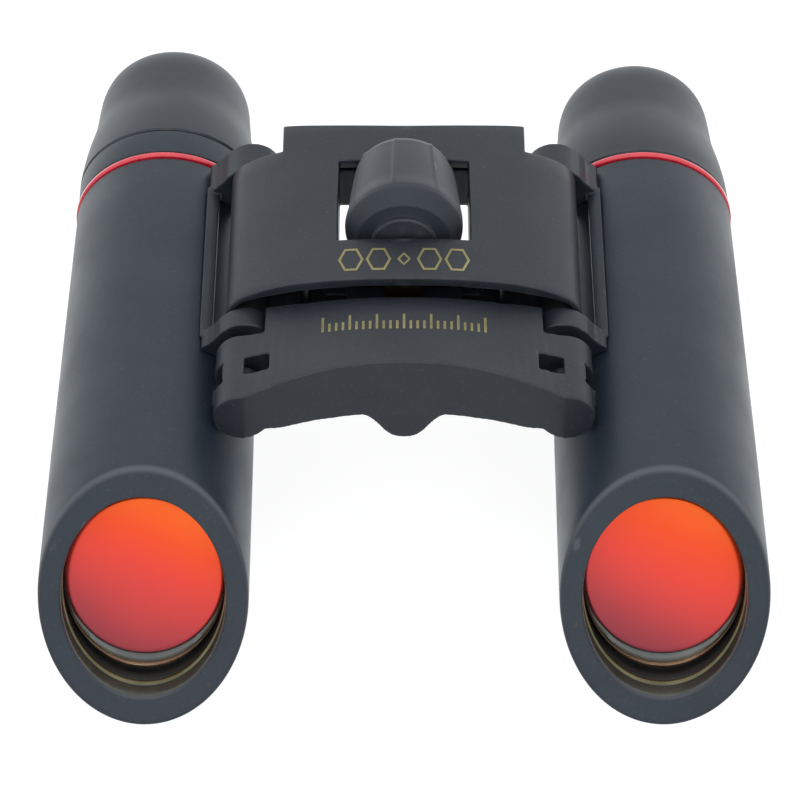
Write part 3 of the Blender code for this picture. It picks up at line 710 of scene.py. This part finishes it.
def hinge_bracket(barrel):
    """Two knuckles on the hinge line whose feet sweep out on to the barrel, with a rail between them."""
    node = barrel["tag"] + "_hinge_bracket"
    side = barrel["side"]
    low, high = box_mm(node)
    pin_low, pin_high = box_mm(barrel["tag"] + "_hinge_pin")
    hinge = ((pin_low.x + pin_high.x) / 2 * side, (pin_low.z + pin_high.z) / 2)
    knuckle_r = high.z - hinge[1]
    front = (low.y, low.y + 3.4)
    rear = (high.y - 5.5, high.y)
    hx, hz = hinge
    foot = [(hx + 3.4, hz + 2.3), (hx + 4.3, hz + 1.1), (hx + 5.2, hz + 0.2), (hx + 6.1, hz - 0.4),
            (hx + 6.6, hz - 3.2), (hx + 3.8, hz - 6.2)]
    outline = mirrored(arc(hx, hz, knuckle_r, 290, 56, 40) + foot, side)
    rail = mirrored([(hx + 4.7, hz - 1.0), (hx + 5.5, hz - 0.7), (hx + 6.5, hz - 0.45), (hx + 6.5, hz - 3.2),
                     (hx + 4.7, hz - 3.2)], side)
    outer = barrel["r"]
    ring_low, ring_high = box_mm(barrel["tag"] + "_trim_ring")
    rear_r = (ring_high.x - ring_low.x) / 2 - 0.2
    margin = 0.2
    seat = [(0, ring_low.y + 8), (rear_r + margin, ring_low.y + 8), (rear_r + margin, ring_low.y),
            (outer + margin, barrel["rim"]), (0, barrel["rim"])]
    changes = [
        ("UNION", extruded(outline, *rear)),
        ("UNION", extruded(rail, front[1] - 1, rear[0] + 1)),
        ("DIFFERENCE", turned(seat, barrel["x"], barrel["z"], 128)),
        ("DIFFERENCE", rod(PIN_BORE, hx * side, hz, front[0] - 1, rear[1] - 0.8)),
    ]
    add_piece(barrel["tag"] + "_bracket", cast(extruded(outline, *front), changes, 0.15, 5), barrel["body"],
              finishes["moulded_black"], [node])


# ---------------------------------------------------------------- bridge

# The cover's outer section from its middle to one side, as (x, drop below its crown).
COVER_HALF = [(0, 0), (7.5, -0.2), (14.6, -1.0), (18.5, -2.0), (21.3, -3.2), (23.0, -4.3), (24.0, -5.5),
              (24.6, -7.0)]


def cover_curve():
    """Dense (x, drop) points on the cover's outer section, from its right edge to its left one."""
    return smooth([(-x, drop) for x, drop in reversed(COVER_HALF[1:])] + COVER_HALF, 12)


def height_on(curve, x):
    """The curve's second value where its first is x."""
    for a, b in zip(curve, curve[1:]):
        if a.x <= x <= b.x:
            return a.y + (b.y - a.y) * (x - a.x) / (b.x - a.x)
    return curve[-1].y


def bridge_cover():
    """The arched top plate with rolled sides, a window for the wheel and stepped rear corners."""
    low, high = box_mm("bridge_cover")
    wheel_low, wheel_high = box_mm("focus_wheel")
    thick = 1.6
    half = WINDOW_HALF
    notch_x, notch_y = 17.3, high.y - 5.4
    window_y = (wheel_low.y - 0.75, wheel_high.y + 0.35)
    curve = cover_curve()

    def rear_edge(x):
        return high.y - 1.6 * max(1 - (x / notch_x) ** 2, 0)

    def drawn_in(x, y):
        """Rows behind the notch close up, so that the last one is the hollow rear edge."""
        return y if y <= notch_y else notch_y + (y - notch_y) * (rear_edge(x) - notch_y) / (high.y - notch_y)

    # Columns follow the section. The window's and notches' edges are kept, and any too close to them goes.
    edges = {-half, half, -notch_x, notch_x}
    columns = sorted(edges | {round(p.x, 4) for p in curve[::3]} | {round(curve[-1].x, 4)})
    fixed = edges | {columns[-1]}
    closest = 0.25
    xs = [columns[0]]
    for x in columns[1:]:
        if x - xs[-1] < closest and x not in fixed:
            continue
        if x - xs[-1] < closest and xs[-1] not in fixed and len(xs) > 1:
            xs.pop()
        xs.append(x)
    outer = [Vector((x, high.z + height_on(curve, x))) for x in xs]
    inner = []
    for i, point in enumerate(outer):
        along = outer[min(i + 1, len(outer) - 1)] - outer[max(i - 1, 0)]
        normal = Vector((along.y, -along.x)).normalized()
        inner.append(point + normal * (thick - 0.7 * between(abs(point.x), 17, 24)))
    edge = 0.7
    inner[0] = Vector((outer[0].x + edge, outer[0].y + 0.1))
    inner[-1] = Vector((outer[-1].x - edge, outer[-1].y + 0.1))
    ys = [low.y, low.y + 1.2, window_y[0] - 1.2, window_y[0], window_y[0] + 1.2,
          window_y[1] - 1.2, window_y[1], notch_y, (notch_y + high.y) / 2, high.y]
    bm = bmesh.new()
    upper = [[bm.verts.new((p.x, drawn_in(p.x, y), p.y)) for y in ys] for p in outer]
    lower = [[bm.verts.new((p.x, drawn_in(p.x, y), p.y)) for y in ys] for p in inner]

    def solid(i, j):
        if not (0 <= i < len(xs) - 1 and 0 <= j < len(ys) - 1):
            return False
        x, y = (xs[i] + xs[i + 1]) / 2, (ys[j] + ys[j + 1]) / 2
        in_window = abs(x) < half and window_y[0] < y < window_y[1]
        return not in_window and not (abs(x) > notch_x and y > notch_y)

    for i in range(len(xs) - 1):
        for j in range(len(ys) - 1):
            if not solid(i, j):
                continue
            corners = [(i, j), (i + 1, j), (i + 1, j + 1), (i, j + 1)]
            bm.faces.new([upper[a][b] for a, b in corners])
            bm.faces.new([lower[a][b] for a, b in reversed(corners)])
            beyond = [(i, j - 1), (i + 1, j), (i, j + 1), (i - 1, j)]
            for k, cell in enumerate(beyond):
                if not solid(*cell):
                    (a, b), (c, d) = corners[k], corners[(k + 1) % 4]
                    bm.faces.new([upper[a][b], upper[c][d], lower[c][d], lower[a][b]])
    bmesh.ops.delete(bm, geom=[v for v in bm.verts if not v.link_faces], context="VERTS")
    bmesh.ops.recalc_face_normals(bm, faces=bm.faces)
    crisp = [e for e in bm.edges if e.is_manifold and e.calc_face_angle(0) > math.radians(40)]
    bmesh.ops.bevel(bm, geom=crisp, offset=0.28, offset_type="OFFSET", segments=3, profile=0.5,
                    affect="EDGES", clamp_overlap=True)
    add_piece("bridge_top", bm, "bridge", finishes["moulded_black"], ["bridge_cover"], 60.0)

    foot = box_mm("cover_screw_1")[0].z + 0.1
    wall_half = notch_x - 0.4
    wall = bmesh.new()
    rings = []
    for i in range(-16, 17):
        x = wall_half * i / 16
        top = high.z + height_on(curve, x) - thick - 0.04
        near, far = high.y - 3.7, rear_edge(x) - 0.1
        section = [(near, top), (far, top), (far, foot), (near, foot)]
        rings.append([wall.verts.new((x, y, z)) for y, z in section])
    skin(wall, rings, closed_rows=False)
    wall.faces.new(rings[0])
    wall.faces.new(rings[-1])
    bmesh.ops.recalc_face_normals(wall, faces=wall.faces)
    rim = [e for e in wall.edges if e.calc_face_angle(0) > math.radians(40)]
    bmesh.ops.bevel(wall, geom=rim, offset=0.2, segments=3, profile=0.5, affect="EDGES", clamp_overlap=True)
    add_piece("bridge_rear_wall", wall, "bridge", finishes["moulded_black"])
    return curve, high.z


def bridge_frame():
    """The chassis: hinge bearing tubes, the web between them and the walls that carry the wheel."""
    low, high = box_mm("bridge_frame")
    wheel_low, wheel_high = box_mm("focus_wheel")
    screw_low, screw_high = box_mm("focus_screw")
    knob_z = (screw_low.z + screw_high.z) / 2
    pins = []
    for tag in SIDES:
        pin_low, pin_high = box_mm(tag + "_hinge_pin")
        pins.append(((pin_low.x + pin_high.x) / 2, (pin_low.z + pin_high.z) / 2))
    tube = (low.y, low.y + 27.0)
    half = WINDOW_HALF
    wall = half + 1.5
    near, far = wheel_low.y - 0.85, wheel_high.y + 0.55
    web_z = box_mm("cover_screw_1")[0].z - 0.1
    changes = []
    for x, z in pins:
        inner_x, outer_x = sorted((math.copysign(16.9, x), math.copysign(30, x)))
        changes.append(("DIFFERENCE", block((inner_x, tube[1] - 0.2, 20), (outer_x, tube[1] + 9, 40))))
        changes.append(("UNION", rod(2.9, x, z, *tube)))
    changes.append(("UNION", block((-wall, near - 1.75, 26), (wall, far + 1.05, 33.9))))
    changes.append(("DIFFERENCE", block((-half, near, 20), (half, far, 40))))
    changes.append(("DIFFERENCE", block((-half + 0.01, near + 0.1, web_z - 1),
                                        (half - 0.01, far + 2.55, web_z + 2.5))))
    changes.append(("DIFFERENCE", rod(1.2, 0, knob_z, low.y, far + 0.75)))
    for x, z in pins:
        changes.append(("DIFFERENCE", rod(PIN_BORE, x, z, tube[0] - 1, tube[1] + 1)))
    for index in range(1, 5):
        a, b = box_mm(f"cover_screw_{index}")
        changes.append(("DIFFERENCE", post(1.9, (a.x + b.x) / 2, (a.y + b.y) / 2, web_z - 1, web_z + 1.3)))
    base = block((-19.7, tube[0] + 0.2, web_z), (19.7, high.y, web_z + 2.4))
    add_piece("chassis", cast(base, changes, 0.2, 4), "bridge", finishes["chassis_black"],
              ["bridge_frame"])


def plate_fall(height):
    """How far the slider's plate falls from its front to its rear. Its lower parts stay level."""
    return 1.5 * min(max((height - 31.2) / 2.8, 0), 1)


def plate_height(x, share):
    """Height of the slider's plate, where share is 0 at its front and 1 at its rear."""
    crown = 35.2 - 3.3 * (abs(x) / 20.0) ** 2.4
    return crown - share * plate_fall(crown)


def focus_slider():
    """The front plate: an arched casting with lugs on the hinge pins, hollow at the front."""
    low, high = box_mm("focus_slider")
    pin_low, pin_high = box_mm("left_hinge_pin")
    arm_low, arm_high = box_mm("left_focus_arm")
    hx, hz = (pin_low.x + pin_high.x) / 2, (pin_low.z + pin_high.z) / 2
    lug_r = high.x - hx
    top = [(19.0 * i / 13, plate_height(19.0 * i / 13, 0)) for i in range(14)]
    top.append((20.3, hz + 4.5))
    lug = arc(hx, hz, lug_r, 84, -138, 40)
    bump = [(5.8, 4.6), (5.0, 4.3), (4.2, 3.55), (3.4, 2.4), (2.6, 1.25), (1.8, 0.5), (0.9, 0.1), (0, 0)]
    bottom = [(16.6, low.z + 3.9), (14.6, low.z + 4.15), (12.0, low.z + 4.4)]
    bottom += [(x, low.z + rise) for x, rise in bump]
    half = top + lug + bottom
    outline = half + [(-x, z) for x, z in reversed(half) if x > 0]
    front = low.y
    plate = extruded(outline, front, front + PLATE_LENGTH)
    for vert in plate.verts:
        if vert.co.y > front + 1:
            vert.co.z -= plate_fall(vert.co.z)
    bmesh.ops.triangulate(plate, faces=plate.faces)
    hollow = []
    for i in range(-40, 41):
        hollow.append((hx * i / 40, front - 0.02 + 3.0 * (1 - (i / 40) ** 2) ** 1.35))
    changes = [("DIFFERENCE", plan_extruded(hollow + [(hx, front - 3), (-hx, front - 3)], 0, 60))]
    rear = front + 12.0
    arm = (arm_low.y - 0.3, arm_high.y + 0.3)
    for side in SIDES.values():
        def span(inner, outer):
            return sorted((side * inner, side * outer))
        a, b = span(19.0, 30)
        changes.append(("DIFFERENCE", block((a, rear, 20), (b, rear + 20, 40))))
        changes.append(("DIFFERENCE", rod(4.4, side * hx, hz, rear, rear + 20)))
        a, b = span(17.9, 30)
        changes.append(("DIFFERENCE", block((a, arm[0], 18), (b, arm[1], 30.0))))
        a, b = span(18.2, 21.6)
        changes.append(("DIFFERENCE", block((a, arm[0] + 0.2, 29), (b, arm[1], 36))))
        changes.append(("DIFFERENCE", rod(PIN_BORE, side * hx, hz, front + 1.6, rear + 10)))
    changes.append(("DIFFERENCE", block((-30, front + 9.5, 10), (30, front + 30, 28.0))))
    changes.append(("UNION", block((-8, front + 15, 28.4), (8, high.y, 30.6))))
    add_piece("slider_plate", cast(plate, changes, 0.15, 9), "focus_slider", finishes["moulded_black"],
              ["focus_slider"])


def focus_wheel():
    """The rubber wheel: a collar, a rounded front, widest behind that, then a ridged and tapering rear."""
    low, high = box_mm("focus_wheel")
    widest = (high.x - low.x) / 2
    middle = ((low.x + high.x) / 2, (low.z + high.z) / 2)
    front, rear = low.y, high.y
    outer = [(4.8, rear), (6.0, rear - 0.12), (6.6, rear - 0.45), (6.95, rear - 1.1), (7.1, rear - 1.9),
             (7.5, rear - 4.6), (7.95, front + 6.6), (widest - 0.06, front + 4.2),
             (widest - 0.08, front + 3.3), (7.95, front + 2.5), (6.55, front + 0.95)]
    profile = [(1.3, rear - 0.05), (2.6, rear)] + [tuple(p) for p in smooth(outer, 8)]
    profile += [(6.45, front + 0.84), (6.3, front + 0.8), (4.7, front + 0.8), (4.5, front + 0.7),
                (4.5, front + 0.25), (4.25, front), (1.3, front)]
    ridges = 8
    first = math.radians(100)

    def ridged(angle, r, y):
        share = ((angle - first) * ridges / (2 * math.pi) + 0.5) % 1.0 - 0.5
        hollow = 1 - math.exp(-(share / 0.06) ** 2)
        return r - 0.20 * hollow * between(y, front + 2.6, front + 6.0) * between(r, 6.0, 6.9)

    add_piece("focus_knob", turned(profile, *middle, 320, ridged), "focus_wheel", finishes["eyecup_rubber"],
              ["focus_wheel"], 40.0)


def printed(name, body, shapes, surface):
    """Thin ink shapes laid on a surface. Each shape is a closed strip: inner and outer (x, y) outlines."""
    bm = bmesh.new()
    for inner, outer in shapes:
        rings = []
        for outline, lift in ((inner, -0.08), (inner, 0.035), (outer, 0.035), (outer, -0.08)):
            rings.append([bm.verts.new((x, y, surface(x, y) + lift)) for x, y in outline])
        skin(bm, rings)
    add_piece(name, bm, body, gold_ink)


def outline_of(points, scale, x, y, count=10):
    """A closed outline about (x, y), with each side split so that it can follow a curved surface."""
    out = []
    for i, (ax, ay) in enumerate(points):
        bx, by = points[(i + 1) % len(points)]
        for k in range(count):
            t = k / count
            out.append((x + (ax + (bx - ax) * t) * scale[0], y + (ay + (by - ay) * t) * scale[1]))
    return out


def strip(points, size, stroke, x, y):
    """An outlined shape whose line is stroke wide."""
    shrink = ((size[0] - stroke) / size[0], (size[1] - stroke * 1.2) / size[1])
    outer = outline_of(points, size, x, y)
    inner = outline_of(points, (size[0] * shrink[0], size[1] * shrink[1]), x, y)
    return inner, outer


def bar(width, height, x, y):
    """A solid bar, as a strip whose inner outline is nearly closed."""
    square = [(-1, -1), (1, -1), (1, 1), (-1, 1)]
    outer = outline_of(square, (width / 2, height / 2), x, y, 4)
    inner = outline_of(square, (width * 0.05, height * 0.25), x, y, 4)
    return inner, outer


def marks(curve, top):
    """Generic ornaments in dull gold: hexagons and a lozenge on the cover, a tick scale on the slider."""
    row = box_mm("bridge_cover")[0].y + 3.8
    lozenge = [(-1, 0), (0, -1), (1, 0), (0, 1)]
    hexagon = [(math.cos(math.radians(60 * i)), math.sin(math.radians(60 * i))) for i in range(6)]
    shapes = [strip(hexagon, (1.75, 2.5), 0.36, x, row) for x in (-7.3, -3.5, 3.5, 7.3)]
    shapes.insert(2, strip(lozenge, (0.95, 1.3), 0.36, 0, row))
    printed("cover_marks", "bridge", shapes, lambda x, y: top + height_on(curve, x))

    front = box_mm("focus_slider")[0].y
    row = front + 11.6
    long_tick, short_tick = 3.1, 1.7

    def plate(x, y):
        return plate_height(x, (y - front) / PLATE_LENGTH)

    ticks = []
    for i in range(-12, 13):
        tall = long_tick if i % 4 == 0 else short_tick
        ticks.append(bar(0.34, tall, i * 0.92, row - (long_tick - tall) / 2))
    printed("slider_marks", "focus_slider", ticks, plate)


# The CAD nodes that stay get the finish that is named after their slot in the record.
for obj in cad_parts.values():
    painted = obj.material_slots[0]
    painted.material = finishes.get(painted.material.name.split(".")[0], finishes["inner_black"])

for tag in SIDES:
    barrel = measured_barrel(tag)
    barrel_shell(barrel)
    eyecup(barrel)
    band(barrel, tag + "_trim_ring", tag + "_red_ring", barrel["body"], "red_gloss", 0.35, 1.2)
    crescents(barrel, *window(barrel))
    bore_lining(barrel)
    ocular(barrel)
    hinge_bracket(barrel)
band(measured_barrel("right"), "dioptre_ring", "dioptre_band", "dioptre_ring", "soft_black", 0.3, 1.0)
section, crown = bridge_cover()
bridge_frame()
focus_slider()
focus_wheel()
marks(section, crown)


# ---------------------------------------------------------------- floor, light and camera

def lamp(name, place, aim, size, power):
    light = bpy.data.lights.new(name, "AREA")
    light.shape = "RECTANGLE"
    light.size, light.size_y = size
    light.energy = power
    obj = bpy.data.objects.new(name, light)
    obj.location = place
    obj.rotation_euler = (Vector(aim) - Vector(place)).to_track_quat("-Z", "Y").to_euler()
    bpy.context.scene.collection.objects.link(obj)


middle = (cad_low + cad_high) / 2
ground = bmesh.new()
bmesh.ops.create_grid(ground, x_segments=8, y_segments=8, size=2.0)
floor_mesh = bpy.data.meshes.new("floor")
ground.to_mesh(floor_mesh)
ground.free()
floor_mesh.materials.append(floor_finish())
floor = bpy.data.objects.new("floor", floor_mesh)
# Fully folded barrels lie 4.5 mm below the plane that they rest on when open, so the floor is under that.
floor.location = (middle.x, middle.y, cad_low.z - 5 * MM)
bpy.context.scene.collection.objects.link(floor)
# The dome lights the object from below as well, so the floor neither shades nor shows in it.
floor.visible_diffuse = False
floor.visible_glossy = False


def sky(below, above, behind, ahead):
    """A soft studio dome. Its strength steps smoothly from its lower half to its upper half, rises to
    behind low on the far side of the object, and is ahead times as bright on the near side.
    """
    world = bpy.data.worlds.new("studio")
    bpy.context.scene.world = world
    world.use_nodes = True
    tree = world.node_tree
    split = tree.nodes.new("ShaderNodeSeparateXYZ")
    tree.links.new(tree.nodes.new("ShaderNodeTexCoord").outputs["Generated"], split.inputs["Vector"])

    def step(axis, *numbers):
        made = tree.nodes.new("ShaderNodeMapRange")
        made.interpolation_type = "SMOOTHSTEP"
        for socket, number in zip(("From Min", "From Max", "To Min", "To Max"), numbers):
            made.inputs[socket].default_value = number
        tree.links.new(split.outputs[axis], made.inputs["Value"])
        return made.outputs["Result"]

    def combined(operation, first, second):
        made = tree.nodes.new("ShaderNodeMath")
        made.operation = operation
        tree.links.new(first, made.inputs[0])
        tree.links.new(second, made.inputs[1])
        return made.outputs["Value"]

    level = combined("MULTIPLY", step("Z", -0.2, 0.4, below, above), step("Y", -0.9, -0.2, ahead, 1.0))
    far = combined("MULTIPLY", step("Y", 0.1, 0.75, below, behind), step("Z", -0.2, 0.6, 1.0, above / behind))
    strength = combined("MAXIMUM", level, far)
    background = tree.nodes["Background"]
    background.inputs["Color"].default_value = (0.95, 0.98, 1.0, 1.0)
    tree.links.new(strength, background.inputs["Strength"])


sky(below=0.62, above=1.00, behind=1.50, ahead=1.36)
lamp("overhead", place=middle + Vector((0, 0.10, 0.75)), aim=middle, size=(0.9, 0.9), power=0.8)

ELEVATION = math.radians(45.76)
DISTANCE = 0.4801
# The photo's frame isn't centred on the object's box.
aim = middle + Vector((-0.00055, -0.0157, 0))
camera_data = bpy.data.cameras.new("camera")
camera_data.sensor_width = 36
camera_data.lens = 156.9
camera_data.clip_start = 0.01
camera = bpy.data.objects.new("camera", camera_data)
camera.location = aim + Vector((0, -math.cos(ELEVATION), math.sin(ELEVATION))) * DISTANCE
camera.rotation_euler = (math.pi / 2 - ELEVATION, 0, 0)
bpy.context.scene.collection.objects.link(camera)
bpy.context.scene.camera = camera
bpy.context.scene.view_settings.view_transform = "Standard"

bpy.context.view_layer.update()
